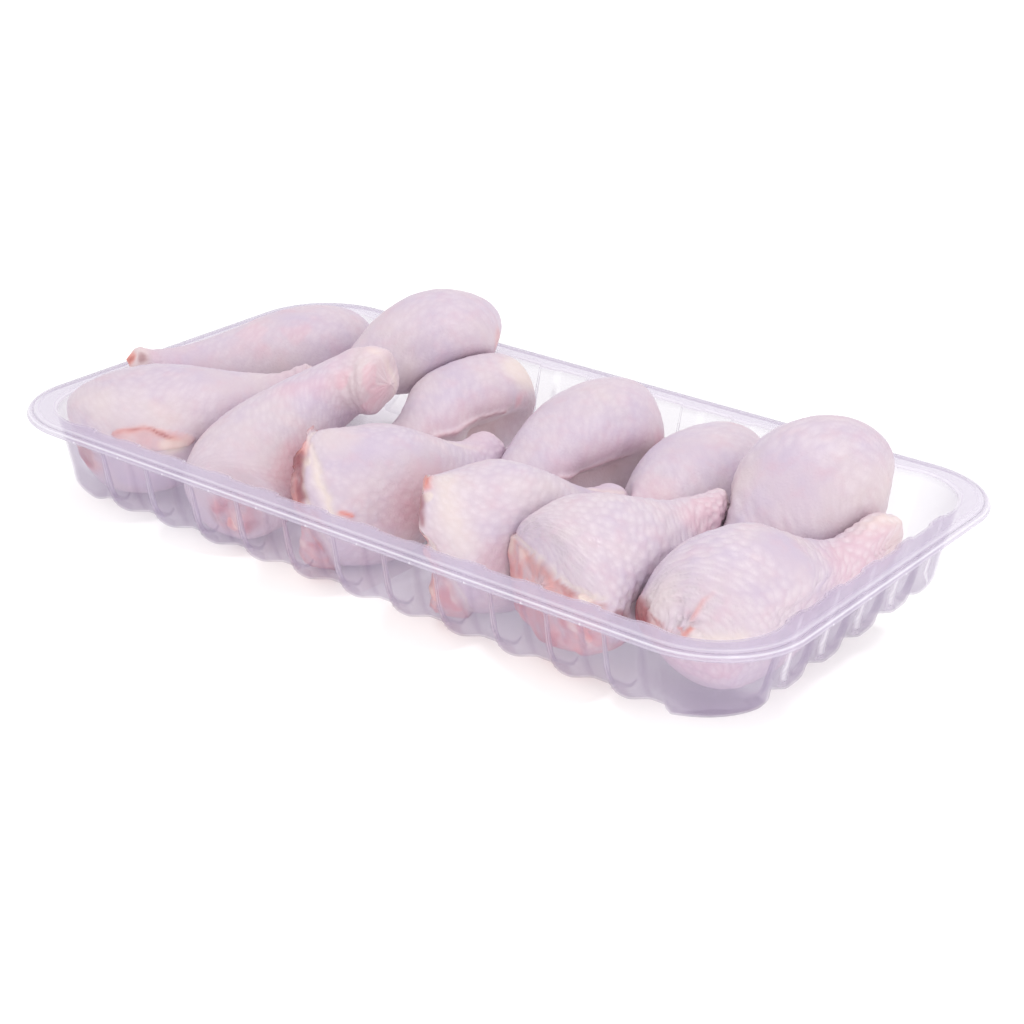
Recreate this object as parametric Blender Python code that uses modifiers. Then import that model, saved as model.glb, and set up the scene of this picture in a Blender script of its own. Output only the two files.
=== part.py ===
"""Family pack of raw chicken drumsticks: a long clear plastic tray with ribbed walls, holding
twelve drumsticks in two rows that lie head to tail, so that each narrow end points in between
two thick ends of the other row.

Sizes are in millimetres and become metres when a mesh is made. The tray stands on z = 0, with
its middle at x = y = 0, its long side along X and its front row of drumsticks towards -Y.
"""

import math

import bpy
import numpy as np

MM = 0.001

# Tray
TRAY_LENGTH = 380.0
TRAY_WIDTH = 213.0
TRAY_HEIGHT = 39.0
SHEET = 0.8
OUTER_CORNER = 40.0
FLANGE_WIDTH = 12.0
FLANGE_CORNER = 29.0
LIP_DROP = 2.4
LIP_FLARE = 1.1
WALL_INSET = 5.0
WALL_CORNER = 27.0
FLOOR_FILLET = 8.0
FLOOR_CORNER = 20.0
FILLET_STEP_IN = 2.4
FILLET_STEP_UP = 2.2
CORNER_ROUND_FOOT = 2.5
CORNER_ROUND_FLOOR = 6.0

# Ribs of the tray's walls: rounded pillars that stand out from narrow recesses
LONG_PILLARS = 11
LONG_PITCH = 25.7
SHORT_PILLARS = 4
SHORT_PITCH = 27.0
PILLAR_SHARE = 0.62
RECESS_TOP = 1.4
RECESS_BOTTOM = 4.2
RECESS_FOOT = 5.2
RECESS_FLOOR = 4.0
RECESS_SLOPE = 0.72
PILLAR_EDGE = 0.22
PILLAR_SAG = 0.93
CORNER_STEPS = 6

# Drumsticks
RINGS = 18
SEGMENTS = 15
PEAK = 0.34
NECK_END = 0.86
KNUCKLE_PLACE = 0.92
KNUCKLE_SPREAD = 0.07
END_ROUND = 0.052
RING_CROWDING = 0.45
ANCHOR_START = 0.35
ANCHOR_END = 0.4
ANCHOR_LIMIT = 0.85
LUMPS = (0.028, 0.018, 0.022)

# Cut ends: blunter than the rounded ones, with sloping shoulders and a dished face
CUT_DEPTH = 4.0
CUT_TAPER = 0.4
CUT_POWER = 1.55
CUT_REACH = 0.5
DISH_SHARE = 0.72

# Contact between neighbours
CONTACT_GAP = 0.7
EDGE_CLEARANCE = 1.6
NEAR = 75.0
FIELD_STATIONS = 26
TRIM_PASSES = 2
COARSE_STEPS = 26
FIRST_SHARE = 0.06
FINE_STEPS = 12


def smooth(value):
    """Smooth step of a value or array from 0 to 1."""
    value = np.clip(value, 0, 1)
    return value * value * (3 - 2 * value)


class Drumstick:
    """One drumstick: a bent axis from its thick end to its ankle, with the radii along it.

    The guide points are measured from the tray's front left corner, and up from the flange.
    """

    def __init__(self, name, guide, radii, cut=False, blunt=2.0, full=PEAK):
        corner = (TRAY_LENGTH / 2, TRAY_WIDTH / 2, -TRAY_HEIGHT)
        self.name = name
        self.guide = [np.subtract(point, corner) for point in guide]
        self.width, self.height, self.neck, self.knuckle = radii
        self.cut = cut
        self.blunt = blunt
        self.full = full
        steps = np.linspace(0.0, 1.0, FIELD_STATIONS)
        self.centres, self.along, self.side, self.rise = self.frame(steps)
        self.wide = np.maximum(self.radius(steps, self.width), 0.5)
        self.tall = np.maximum(self.radius(steps, self.height), 0.5)

    def axis(self, t):
        """Points of the cubic that passes through the four guide points."""
        a, b, c, d = self.guide
        first = (-5 * a + 18 * b - 9 * c + 2 * d) / 6
        second = (2 * a - 9 * b + 18 * c - 5 * d) / 6
        t = np.asarray(t)[:, None]
        s = 1 - t
        return s**3 * a + 3 * s * s * t * first + 3 * s * t * t * second + t**3 * d

    def frame(self, t):
        """Axis points with the forward, sideways and upward directions there."""
        step = 0.01
        along = self.axis(np.asarray(t) + step) - self.axis(np.asarray(t) - step)
        along /= np.linalg.norm(along, axis=1)[:, None]
        side = np.cross(along, (0.0, 0.0, 1.0))
        side /= np.linalg.norm(side, axis=1)[:, None]
        return self.axis(t), along, side, np.cross(side, along)

    def radius(self, t, full):
        """The drumstick's profile: a full body, a slim neck and a knuckle at the ankle."""
        t = np.asarray(t)
        fall = smooth((t - self.full) / (NECK_END - self.full))
        body = self.neck + (full - self.neck) * (1 - fall)
        rise = np.clip((PEAK - t) / PEAK, 0, 1)
        if self.cut:
            start = np.sqrt(1 - (rise * CUT_TAPER) ** 2)
        else:
            start = np.clip(1 - rise**self.blunt, 0, 1) ** (1 / self.blunt)
        knob = (self.knuckle - self.neck) * np.exp(-(((t - KNUCKLE_PLACE) / KNUCKLE_SPREAD) ** 2))
        close = np.clip((t - (1 - END_ROUND)) / END_ROUND, 0, 1)
        return (body * start + knob) * np.sqrt(1 - close**2)

    def depth(self, points):
        """Rough signed distance to the free form, negative inside it."""
        off = points[:, None, :] - self.centres[None, :, :]
        u = np.einsum("pki,ki->pk", off, self.side) / self.wide
        v = np.einsum("pki,ki->pk", off, self.rise) / self.tall
        slim = np.minimum(self.wide, self.tall)
        w = np.einsum("pki,ki->pk", off, self.along) / slim
        nearest = ((np.sqrt(u * u + v * v + w * w) - 1) * slim).min(axis=1)
        if self.cut:
            nearest = np.maximum(nearest, -(points - self.centres[0]) @ self.along[0])
        return nearest

    def rings(self, count, segments):
        """Ring points of the free form, with the inner point that each is pulled towards."""
        u = np.linspace(0.0, 1.0, count)
        t = (1 - RING_CROWDING) * u + RING_CROWDING * (1 - np.cos(np.pi * u)) / 2
        inner = np.where(t < PEAK, PEAK - ANCHOR_START * (PEAK - t), t)
        inner = np.where(t > ANCHOR_LIMIT, ANCHOR_LIMIT + ANCHOR_END * (t - ANCHOR_LIMIT), inner)
        centre, along, side, rise = self.frame(t)
        wide = self.radius(t, self.width)[:, None, None]
        tall = self.radius(t, self.height)[:, None, None]
        angle = np.linspace(0.0, 2 * np.pi, segments, endpoint=False)[None, :, None]
        lump = self.lumps(t[:, None, None], angle) * self.shoulders(t[:, None, None], angle)
        points = centre[:, None, :] + lump * (
            wide * np.cos(angle) * side[:, None, :] + tall * np.sin(angle) * rise[:, None, :]
        )
        anchors = np.repeat(self.axis(inner)[:, None, :], segments, axis=1)
        if self.cut:
            face = centre[0] + CUT_DEPTH * along[0]
            dished = face + DISH_SHARE * (points[0] - centre[0])
            middle = np.repeat(face[None, :], segments, axis=0)
            points = np.concatenate([middle[None], dished[None], points])
            anchors = np.concatenate([anchors[:1], anchors[:1], anchors])
        return points, anchors

    def shoulders(self, t, angle):
        """Share by which the section of a cut end falls away on its shoulders."""
        power = 2 + ((CUT_POWER - 2) * (1 - smooth(t / CUT_REACH)) if self.cut else 0)
        return (np.abs(np.cos(angle)) ** power + np.abs(np.sin(angle)) ** power) ** (-1 / power)

    def lumps(self, t, angle):
        """Slow unevenness of the flesh, different on each drumstick."""
        seed = sum(ord(letter) * (place + 1) for place, letter in enumerate(self.name)) % 97
        first = np.sin(2 * angle + 7.0 * t + seed)
        second = np.sin(3 * angle - 5.0 * t + 2.3 * seed)
        third = np.sin(angle + 11.0 * t + 4.1 * seed)
        return 1 + LUMPS[0] * first + LUMPS[1] * second + LUMPS[2] * third


# Name, guide points, and the radii: half width, half height, neck and knuckle
DRUMSTICKS = [
    Drumstick(
        "drumstick_front_1",
        [(17, 25, -9), (53, 46, -9), (80, 79, -3), (101, 100, 4)],
        (33, 27, 11, 12),
    ),
    Drumstick(
        "drumstick_front_2",
        [(121, 20, -18), (114, 42, -13), (118, 76, 8), (145, 95, 19)],
        (26, 23, 13.5, 15),
    ),
    Drumstick(
        "drumstick_front_3",
        [(154, 34, -9), (170, 54, -9.5), (180, 87, -10.5), (180, 121, -10)],
        (29, 29, 11, 11),
        cut=True,
    ),
    Drumstick(
        "drumstick_front_4",
        [(219, 32, -10), (234, 51, -9), (246, 82, -10), (251, 113, -12)],
        (30, 30, 11, 10.5),
        cut=True,
    ),
    Drumstick(
        "drumstick_front_5",
        [(276, 25, -8), (283, 47, -7), (292, 83, -4), (299, 118, -1)],
        (35, 27, 11, 10),
        blunt=3.4,
    ),
    Drumstick(
        "drumstick_front_6",
        [(335, 21, -8), (340, 54, -7), (350, 92, -8), (364, 141, -1)],
        (32, 29, 10.5, 14),
        full=0.42,
    ),
    Drumstick(
        "drumstick_back_1",
        [(62, 182, -10), (49, 150, -9), (31, 106, -6), (12, 70, 5)],
        (28, 27, 10, 8),
    ),
    Drumstick(
        "drumstick_back_2",
        [(124, 192, 6.5), (112, 168, 9.5), (99, 134, 0), (90, 114, -12)],
        (27, 25, 11, 11),
    ),
    Drumstick(
        "drumstick_back_3",
        [(149, 185, -10), (142, 158, -10), (146, 112, -11), (150, 84, -18)],
        (26, 24, 11, 11),
    ),
    Drumstick(
        "drumstick_back_4",
        [(219, 186, -9), (209, 158, -9), (208, 112, -13), (208, 84, -20)],
        (29, 26, 11, 11),
    ),
    Drumstick(
        "drumstick_back_5",
        [(272, 186, -13), (265, 158, -13), (266, 112, -17), (269, 88, -25)],
        (28, 25, 11, 11),
    ),
    Drumstick(
        "drumstick_back_6",
        [(337, 170, 3), (323, 143, 4), (318, 106, -12), (322, 86, -24)],
        (31, 28, 11, 11),
    ),
]


def rounded_distance(x, y, inset, corner):
    """Distance inwards from the rounded rectangle that lies an inset inside the tray's edge."""
    px = np.abs(x) - (TRAY_LENGTH / 2 - inset - corner)
    py = np.abs(y) - (TRAY_WIDTH / 2 - inset - corner)
    outside = np.hypot(np.maximum(px, 0), np.maximum(py, 0))
    return corner - outside - np.minimum(np.maximum(px, py), 0)


def tray_room(points):
    """Distance from the tray's inner faces, measured from the innermost line of its ribs."""
    x, y, z = points.T
    down = np.clip((TRAY_HEIGHT - z) / (TRAY_HEIGHT - FLOOR_FILLET), 0, 1.2)
    inset = FLANGE_WIDTH + WALL_INSET * down + SHEET
    inset = inset + RECESS_TOP + (RECESS_BOTTOM - RECESS_TOP) * down
    wall = rounded_distance(x, y, inset, WALL_CORNER)
    floor = z - SHEET
    round_off = FLOOR_FILLET - np.hypot(
        np.maximum(FLOOR_FILLET - wall, 0), np.maximum(FLOOR_FILLET - floor, 0)
    )
    inside = np.minimum(np.minimum(wall, floor), round_off)
    above = z - TRAY_HEIGHT
    return np.minimum(np.maximum(inside, above), np.hypot(inside, above) - EDGE_CLEARANCE)


def free_margin(points, piece, others):
    """How far points may still move out before they leave the piece's own share of room."""
    own = piece.depth(points)
    margin = tray_room(points) - CONTACT_GAP
    for other in others:
        margin = np.minimum(margin, other.depth(points) - own - CONTACT_GAP)
    return margin


def trim(points, anchors, piece, others):
    """Pull ring points towards their anchors until neighbours and the tray are clear."""
    shape = points.shape
    outer = points.reshape(-1, 3)
    inner = anchors.reshape(-1, 3)
    low = np.zeros(len(outer))
    high = np.ones(len(outer))
    found = np.zeros(len(outer), bool)
    for share in np.linspace(FIRST_SHARE, 1.0, COARSE_STEPS):
        margin = free_margin(inner + share * (outer - inner), piece, others)
        bad = (margin < 0) & ~found
        high[bad] = share
        found |= bad
        low[~found] = share
    for _ in range(FINE_STEPS):
        middle = (low + high) / 2
        margin = free_margin(inner + middle[:, None] * (outer - inner), piece, others)
        good = margin >= 0
        low = np.where(good, middle, low)
        high = np.where(good, high, middle)
    return (inner + low[:, None] * (outer - inner)).reshape(shape)


def relax(points):
    """Ease the creases of the ring points once, leaving the two end points of the form."""
    around = (np.roll(points, 1, axis=1) + np.roll(points, -1, axis=1)) / 2
    eased = points.copy()
    ahead = (points[:-2] + points[2:]) / 2
    eased[1:-1] = 0.5 * points[1:-1] + 0.25 * around[1:-1] + 0.25 * ahead
    return eased


def neighbours(piece):
    """The other drumsticks that come near enough to touch this one."""
    near = []
    for other in DRUMSTICKS:
        gaps = np.linalg.norm(piece.centres[:, None] - other.centres[None], axis=2)
        if other is not piece and gaps.min() < NEAR:
            near.append(other)
    return near


def drumstick_points(piece, count, segments):
    """Ring points of a drumstick as it lies in the tray, pressed against what it touches."""
    others = neighbours(piece)
    points, anchors = piece.rings(count, segments)
    points = trim(points, anchors, piece, others)
    for _ in range(TRIM_PASSES):
        points = trim(relax(points), anchors, piece, others)
    return points


def closed_loft(points):
    """Vertices and faces of a loft whose first and last rings have shrunk to one point each."""
    count, segments = points.shape[:2]
    vertices = [points[0, 0]]
    vertices += list(points[1:-1].reshape(-1, 3))
    vertices.append(points[-1, 0])
    last = len(vertices) - 1
    faces = []
    for j in range(segments):
        k = (j + 1) % segments
        faces.append((0, 1 + j, 1 + k))
        for i in range(count - 3):
            a = 1 + i * segments
            b = a + segments
            faces.append((a + j, b + j, b + k, a + k))
        end = 1 + (count - 3) * segments
        faces.append((end + k, end + j, last))
    return vertices, faces


def side_run(length, corner, pillars, pitch):
    """Stops along one straight side: (distance from its middle, share of full pillar)."""
    pillar = pitch * PILLAR_SHARE
    recess = pitch - pillar
    start = -((pillars - 1) * pitch + pillar) / 2
    stops = [(start - recess, 1.0), (start - recess * RECESS_SLOPE, 0.0)]
    for index in range(pillars):
        left = start + index * pitch
        stops += [(left, 0.0), (left + pillar * PILLAR_EDGE, PILLAR_SAG)]
        stops += [(left + pillar * (1 - PILLAR_EDGE), PILLAR_SAG), (left + pillar, 0.0)]
    stops += [(-start + recess * RECESS_SLOPE, 0.0), (-start + recess, 1.0)]
    limit = length / 2 - corner
    return [(place, share) for place, share in stops if abs(place) < limit + recess]


def tray_loop(inset, corner, height, recess, rounding=0.0):
    """One closed loop of the tray's outer face, with its recesses pressed inwards and its
    corners drawn in by a rounding at their middle."""
    loop = []
    for turn in range(4):
        long_side = turn % 2 == 0
        length = TRAY_LENGTH if long_side else TRAY_WIDTH
        across = TRAY_WIDTH if long_side else TRAY_LENGTH
        pillars = LONG_PILLARS if long_side else SHORT_PILLARS
        pitch = LONG_PITCH if long_side else SHORT_PITCH
        run = side_run(length, OUTER_CORNER, pillars, pitch)
        local = [(place, -(across / 2 - inset - recess * (1 - share))) for place, share in run]
        middle_x = length / 2 - inset - corner
        middle_y = -(across / 2 - inset - corner)
        for step in range(CORNER_STEPS):
            angle = math.radians(-90 + 90 * (step + 0.5) / CORNER_STEPS)
            reach = corner - rounding * abs(math.sin(2 * angle))
            local.append((middle_x + reach * math.cos(angle), middle_y + reach * math.sin(angle)))
        heading = math.radians(90 * turn)
        c, s = math.cos(heading), math.sin(heading)
        loop += [(c * x - s * y, s * x + c * y, height) for x, y in local]
    return loop


def make_tray(collection):
    """The tray: loops from the lip over the flange and down the wall, closed by the floor."""
    top = TRAY_HEIGHT - SHEET
    wall_end = FLANGE_WIDTH + WALL_INSET
    loops = [
        tray_loop(SHEET, OUTER_CORNER, top - LIP_DROP, 0.0),
        tray_loop(SHEET + LIP_FLARE, OUTER_CORNER - LIP_FLARE, top, 0.0),
        tray_loop(FLANGE_WIDTH, FLANGE_CORNER, top, RECESS_TOP),
        tray_loop(wall_end, WALL_CORNER, FLOOR_FILLET, RECESS_BOTTOM),
        tray_loop(
            wall_end + FILLET_STEP_IN,
            WALL_CORNER - FILLET_STEP_IN,
            FILLET_STEP_UP,
            RECESS_FOOT,
            CORNER_ROUND_FOOT,
        ),
        tray_loop(wall_end + FLOOR_FILLET, FLOOR_CORNER, 0.0, RECESS_FLOOR, CORNER_ROUND_FLOOR),
    ]
    size = len(loops[0])
    vertices = [point for loop in loops for point in loop]
    faces = []
    for level in range(len(loops) - 1):
        a = level * size
        b = a + size
        for j in range(size):
            k = (j + 1) % size
            faces.append((a + j, a + k, b + k, b + j))
    faces.append(tuple(range((len(loops) - 1) * size, len(loops) * size)))
    tray = add_mesh(collection, "tray", vertices, faces)
    skin = tray.modifiers.new("Sheet", "SOLIDIFY")
    skin.thickness = SHEET * MM
    skin.offset = 1.0
    skin.use_even_offset = True
    return tray


def add_mesh(collection, name, vertices, faces):
    """A smooth-shaded object from millimetre vertices, its faces turned outwards."""
    mesh = bpy.data.meshes.new(name)
    mesh.from_pydata([tuple(float(v) * MM for v in vertex) for vertex in vertices], [], faces)
    mesh.shade_smooth()
    mesh.set_sharp_from_angle(angle=math.radians(50))
    mesh.validate()
    item = bpy.data.objects.new(name, mesh)
    collection.objects.link(item)
    return item


def material(name, colour, roughness, alpha=1.0):
    """A plain Principled material."""
    surface = bpy.data.materials.new(name)
    surface.use_nodes = True
    shader = surface.node_tree.nodes["Principled BSDF"]
    shader.inputs["Base Color"].default_value = (*colour, 1.0)
    shader.inputs["Roughness"].default_value = roughness
    shader.inputs["Metallic"].default_value = 0.0
    shader.inputs["Alpha"].default_value = alpha
    return surface


def main():
    for item in list(bpy.data.objects):
        bpy.data.objects.remove(item, do_unlink=True)
    pack = bpy.data.collections.new("meat_tray_pack")
    bpy.context.scene.collection.children.link(pack)
    tray = make_tray(pack)
    tray.data.materials.append(material("clear_plastic", (0.86, 0.84, 0.92), 0.15, 0.35))
    for piece in DRUMSTICKS:
        vertices, faces = closed_loft(drumstick_points(piece, RINGS, SEGMENTS))
        item = add_mesh(pack, piece.name, vertices, faces)
        item.data.materials.append(material(piece.name + "_skin", (0.76, 0.62, 0.64), 0.42))


if __name__ == "__main__":
    main()
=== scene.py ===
"""Looks of the chicken drumstick pack: fine drumsticks with skin, folds and cut meat in a clear
ribbed tray, on a plain pale floor.

Sizes in this file are in millimetres, in the part's own frame, and become metres when a mesh is
made. The guide points of the drumsticks and the tray's sizes are the same as the solid model's.
"""

import itertools
import math

import bpy
import numpy as np
from mathutils import Matrix, Vector


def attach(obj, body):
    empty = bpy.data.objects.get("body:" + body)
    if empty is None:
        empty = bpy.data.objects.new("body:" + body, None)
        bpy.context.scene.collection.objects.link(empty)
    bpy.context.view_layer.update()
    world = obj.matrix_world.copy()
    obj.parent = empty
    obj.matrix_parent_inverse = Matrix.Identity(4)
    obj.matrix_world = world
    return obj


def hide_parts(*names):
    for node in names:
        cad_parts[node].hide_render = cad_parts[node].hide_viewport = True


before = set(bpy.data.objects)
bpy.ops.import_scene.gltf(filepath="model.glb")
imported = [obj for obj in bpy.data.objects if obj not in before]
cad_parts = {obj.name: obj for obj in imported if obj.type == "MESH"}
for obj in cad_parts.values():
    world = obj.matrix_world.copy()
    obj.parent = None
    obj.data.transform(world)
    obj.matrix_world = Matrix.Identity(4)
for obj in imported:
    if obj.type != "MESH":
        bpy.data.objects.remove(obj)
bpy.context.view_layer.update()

MM = 0.001

# Tray, as in the solid model
TRAY_LENGTH = 380.0
TRAY_WIDTH = 213.0
TRAY_HEIGHT = 39.0
SHEET = 0.8
OUTER_CORNER = 40.0
FLANGE_WIDTH = 12.0
FLANGE_CORNER = 29.0
LIP = ((SHEET, 2.4), (1.1, 2.1), (1.3, 1.2), (1.5, 0.95), (2.0, 0.85), (3.2, 0.85), (3.5, 0.75),
       (3.7, 0.2))
WALL_INSET = 5.0
WALL_CORNER = 27.0
FLOOR_FILLET = 8.0
LONG_PILLARS = 11
LONG_PITCH = 25.7
SHORT_PILLARS = 4
SHORT_PITCH = 27.0
PILLAR_SHARE = 0.62
SIDE_END = 46.0
CORNER_SEGMENTS = 26
RECESS_TOP = 1.4
RECESS_BOTTOM = 4.2
RECESS_FOOT = 5.2
RECESS_FLOOR = 4.0
FOOT_ROUND = 4.5
FOOT_RISE = 15.0
FLOOR_EDGE = 31.0
FLOOR_CORNER = 14.0

# Drumsticks, as in the solid model
PEAK = 0.34
NECK_END = 0.86
KNUCKLE_PLACE = 0.92
KNUCKLE_SPREAD = 0.07
END_ROUND = 0.052
RING_CROWDING = 0.45
ANCHOR_START = 0.35
ANCHOR_END = 0.4
ANCHOR_LIMIT = 0.85
CUT_DEPTH = 4.0
CUT_TAPER = 0.4
CUT_POWER = 1.55
CUT_REACH = 0.5
LUMPS = (0.028, 0.018, 0.022)
CONTACT_GAP = 0.7
EDGE_CLEARANCE = 1.6
NEAR = 75.0
FIELD_STATIONS = 26

# Fineness of the skin
COARSE_RINGS = 44
COARSE_SEGMENTS = 40
MASKS = ("pore", "meat", "blood", "cream", "rosy_and_shade", "orange", "wet")
FRONT_GRID = (190, 180)
BACK_GRID = (130, 120)


def smooth(value):
    """Smooth step of a value or array from 0 to 1."""
    value = np.clip(value, 0, 1)
    return value * value * (3 - 2 * value)


def scatter(cells, seed):
    """A steady random number from 0 to 1 for each whole-number cell."""
    mixed = cells[..., 0] * 374761393 + seed * 974634777
    for axis in range(1, cells.shape[-1]):
        mixed = mixed + cells[..., axis] * (668265263 + 1640531513 * (axis - 1))
    mixed = (mixed ^ (mixed >> 13)) * 1274126177 & 0xFFFFFFFF
    mixed = (mixed ^ (mixed >> 16)) * 2246822519 & 0xFFFFFFFF
    return (mixed ^ (mixed >> 15)) % 65536 / 65535.0


def noise(points, size, seed=0):
    """Smooth noise from -1 to 1 with features of about the given size."""
    place = points / size + 31.7
    cell = np.floor(place).astype(np.int64)
    share = place - cell
    share = share * share * (3 - 2 * share)
    total = 0.0
    for corner in itertools.product((0, 1), repeat=3):
        weight = 1.0
        for axis in range(3):
            weight = weight * (share[..., axis] if corner[axis] else 1 - share[..., axis])
        total = total + weight * scatter(cell + np.array(corner), seed)
    return 2 * total - 1


class Drumstick:
    """One drumstick: a bent axis from its thick end to its ankle, with the radii along it."""

    def __init__(self, name, guide, radii, cut=False, blunt=2.0, full=PEAK):
        corner = (TRAY_LENGTH / 2, TRAY_WIDTH / 2, -TRAY_HEIGHT)
        self.name = name
        self.guide = [np.subtract(point, corner) for point in guide]
        self.width, self.height, self.neck, self.knuckle = radii
        self.cut = cut
        self.blunt = blunt
        self.full = full
        steps = np.linspace(0.0, 1.0, FIELD_STATIONS)
        self.centres, self.along, self.side, self.rise = self.frame(steps)
        wide = np.maximum(self.radius(steps, self.width), 0.5)
        tall = np.maximum(self.radius(steps, self.height), 0.5)
        self.slim = np.minimum(wide, tall)
        self.scale = np.stack(
            [self.side / wide[:, None], self.rise / tall[:, None], self.along
             / self.slim[:, None]], axis=2
        )

    def axis(self, t):
        """Points of the cubic that passes through the four guide points."""
        a, b, c, d = self.guide
        first = (-5 * a + 18 * b - 9 * c + 2 * d) / 6
        second = (2 * a - 9 * b + 18 * c - 5 * d) / 6
        t = np.asarray(t)[:, None]
        s = 1 - t
        return s**3 * a + 3 * s * s * t * first + 3 * s * t * t * second + t**3 * d

    def frame(self, t):
        """Axis points with the forward, sideways and upward directions there."""
        step = 0.01
        along = self.axis(np.asarray(t) + step) - self.axis(np.asarray(t) - step)
        along /= np.linalg.norm(along, axis=1)[:, None]
        side = np.cross(along, (0.0, 0.0, 1.0))
        side /= np.linalg.norm(side, axis=1)[:, None]
        return self.axis(t), along, side, np.cross(side, along)

    def radius(self, t, full):
        """The drumstick's profile: a full body, a slim neck and a knuckle at the ankle."""
        t = np.asarray(t)
        fall = smooth((t - self.full) / (NECK_END - self.full))
        body = self.neck + (full - self.neck) * (1 - fall)
        rise = np.clip((PEAK - t) / PEAK, 0, 1)
        if self.cut:
            start = np.sqrt(1 - (rise * CUT_TAPER) ** 2)
        else:
            start = np.clip(1 - rise**self.blunt, 0, 1) ** (1 / self.blunt)
        knob = (self.knuckle - self.neck) * np.exp(-(((t - KNUCKLE_PLACE) / KNUCKLE_SPREAD) ** 2))
        close = np.clip((t - (1 - END_ROUND)) / END_ROUND, 0, 1)
        return (body * start + knob) * np.sqrt(1 - close**2)

    def depth(self, points):
        """Rough signed distance to the free form, negative inside it."""
        off = points[None] - self.centres[:, None]
        reach = np.linalg.norm(off @ self.scale, axis=2)
        nearest = ((reach - 1) * self.slim[:, None]).min(axis=0)
        if self.cut:
            nearest = np.maximum(nearest, -(points - self.centres[0]) @ self.along[0])
        return nearest

    def rings(self, count, segments):
        """Ring points of the free form, with the inner point that each is pulled towards."""
        u = np.linspace(0.0, 1.0, count)
        t = (1 - RING_CROWDING) * u + RING_CROWDING * (1 - np.cos(np.pi * u)) / 2
        inner = np.where(t < PEAK, PEAK - ANCHOR_START * (PEAK - t), t)
        inner = np.where(t > ANCHOR_LIMIT, ANCHOR_LIMIT + ANCHOR_END * (t - ANCHOR_LIMIT), inner)
        centre, along, side, rise = self.frame(t)
        wide = self.radius(t, self.width)[:, None, None]
        tall = self.radius(t, self.height)[:, None, None]
        angle = np.linspace(0.0, 2 * np.pi, segments, endpoint=False)[None, :, None]
        lump = self.lumps(t[:, None, None], angle) * self.shoulders(t[:, None, None], angle)
        points = centre[:, None, :] + lump * (
            wide * np.cos(angle) * side[:, None, :] + tall * np.sin(angle) * rise[:, None, :]
        )
        anchors = np.repeat(self.axis(inner)[:, None, :], segments, axis=1)
        return points, anchors

    def shoulders(self, t, angle):
        """Share by which the section of a cut end falls away on its shoulders."""
        power = 2 + ((CUT_POWER - 2) * (1 - smooth(t / CUT_REACH)) if self.cut else 0)
        return (np.abs(np.cos(angle)) ** power + np.abs(np.sin(angle)) ** power) ** (-1 / power)

    def lumps(self, t, angle):
        """Slow unevenness of the flesh, different on each drumstick."""
        seed = sum(ord(letter) * (place + 1) for place, letter in enumerate(self.name)) % 97
        first = np.sin(2 * angle + 7.0 * t + seed)
        second = np.sin(3 * angle - 5.0 * t + 2.3 * seed)
        third = np.sin(angle + 11.0 * t + 4.1 * seed)
        return 1 + LUMPS[0] * first + LUMPS[1] * second + LUMPS[2] * third


DRUMSTICKS = [
    Drumstick(
        "drumstick_front_1",
        [(17, 25, -9), (53, 46, -9), (80, 79, -3), (101, 100, 4)],
        (33, 27, 11, 12),
    ),
    Drumstick(
        "drumstick_front_2",
        [(121, 20, -18), (114, 42, -13), (118, 76, 8), (145, 95, 19)],
        (26, 23, 13.5, 15),
    ),
    Drumstick(
        "drumstick_front_3",
        [(154, 34, -9), (170, 54, -9.5), (180, 87, -10.5), (180, 121, -10)],
        (29, 29, 11, 11),
        cut=True,
    ),
    Drumstick(
        "drumstick_front_4",
        [(219, 32, -10), (234, 51, -9), (246, 82, -10), (251, 113, -12)],
        (30, 30, 11, 10.5),
        cut=True,
    ),
    Drumstick(
        "drumstick_front_5",
        [(276, 25, -8), (283, 47, -7), (292, 83, -4), (299, 118, -1)],
        (35, 27, 11, 10),
        blunt=3.4,
    ),
    Drumstick(
        "drumstick_front_6",
        [(335, 21, -8), (340, 54, -7), (350, 92, -8), (364, 141, -1)],
        (32, 29, 10.5, 14),
        full=0.42,
    ),
    Drumstick(
        "drumstick_back_1",
        [(62, 182, -10), (49, 150, -9), (31, 106, -6), (12, 70, 5)],
        (28, 27, 10, 8),
    ),
    Drumstick(
        "drumstick_back_2",
        [(124, 192, 6.5), (112, 168, 9.5), (99, 134, 0), (90, 114, -12)],
        (27, 25, 11, 11),
    ),
    Drumstick(
        "drumstick_back_3",
        [(149, 185, -10), (142, 158, -10), (146, 112, -11), (150, 84, -18)],
        (26, 24, 11, 11),
    ),
    Drumstick(
        "drumstick_back_4",
        [(219, 186, -9), (209, 158, -9), (208, 112, -13), (208, 84, -20)],
        (29, 26, 11, 11),
    ),
    Drumstick(
        "drumstick_back_5",
        [(272, 186, -13), (265, 158, -13), (266, 112, -17), (269, 88, -25)],
        (28, 25, 11, 11),
    ),
    Drumstick(
        "drumstick_back_6",
        [(337, 170, 3), (323, 143, 4), (318, 106, -12), (322, 86, -24)],
        (31, 28, 11, 11),
    ),
]


def rounded_distance(x, y, inset, corner):
    """Distance inwards from the rounded rectangle that lies an inset inside the tray's edge."""
    px = np.abs(x) - (TRAY_LENGTH / 2 - inset - corner)
    py = np.abs(y) - (TRAY_WIDTH / 2 - inset - corner)
    outside = np.hypot(np.maximum(px, 0), np.maximum(py, 0))
    return corner - outside - np.minimum(np.maximum(px, py), 0)


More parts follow.
